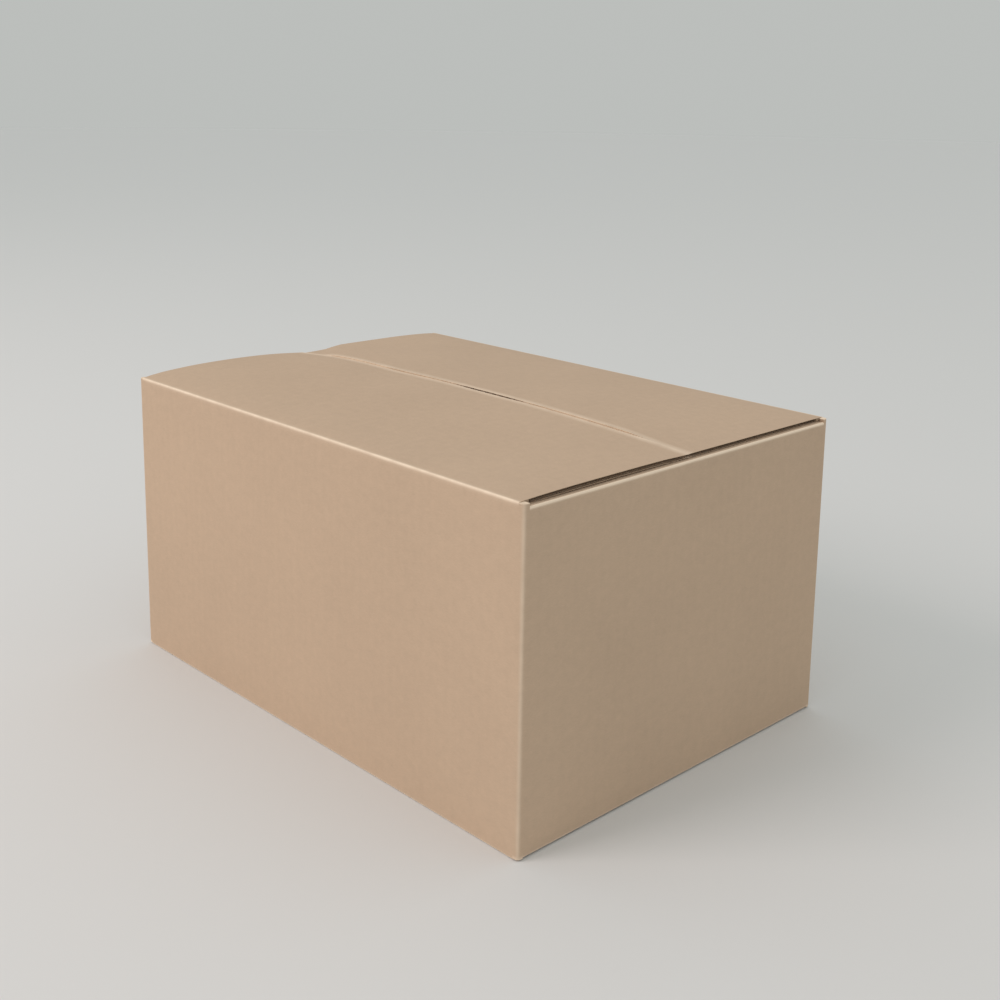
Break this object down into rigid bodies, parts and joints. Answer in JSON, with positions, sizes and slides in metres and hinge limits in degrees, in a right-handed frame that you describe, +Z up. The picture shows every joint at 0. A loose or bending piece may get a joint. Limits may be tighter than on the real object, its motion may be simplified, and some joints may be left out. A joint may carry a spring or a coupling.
{
  "type": "closed cardboard box",
  "caption": "Plain corrugated cardboard box, folded shut and untaped, whose outer top flaps hinge open on their creases to reach the goods space.",
  "frame": {"origin": "centre of the base, on the surface that the box stands on", "axes": "+X along the length, +Y from the front wall to the back wall, +Z up"},
  "size_m": [0.435, 0.308, 0.2318],
  "materials": {
    "corrugated_board": "uncoated brown kraft paper, matte"
  },
  "bodies": {
    "box": {"carton": "corrugated_board"},
    "front_flap": {"front_flap": "corrugated_board"},
    "back_flap": {"back_flap": "corrugated_board"}
  },
  "joints": [
    {"name": "front_flap_hinge", "type": "hinge", "parent": "box", "child": "front_flap", "pos_m": [0, -0.154, 0.224], "axis": [1, 0, 0], "range_deg": [0, 250]},
    {"name": "back_flap_hinge", "type": "hinge", "parent": "box", "child": "back_flap", "pos_m": [0, 0.154, 0.224], "axis": [-1, 0, 0], "range_deg": [0, 250]}
  ]
}
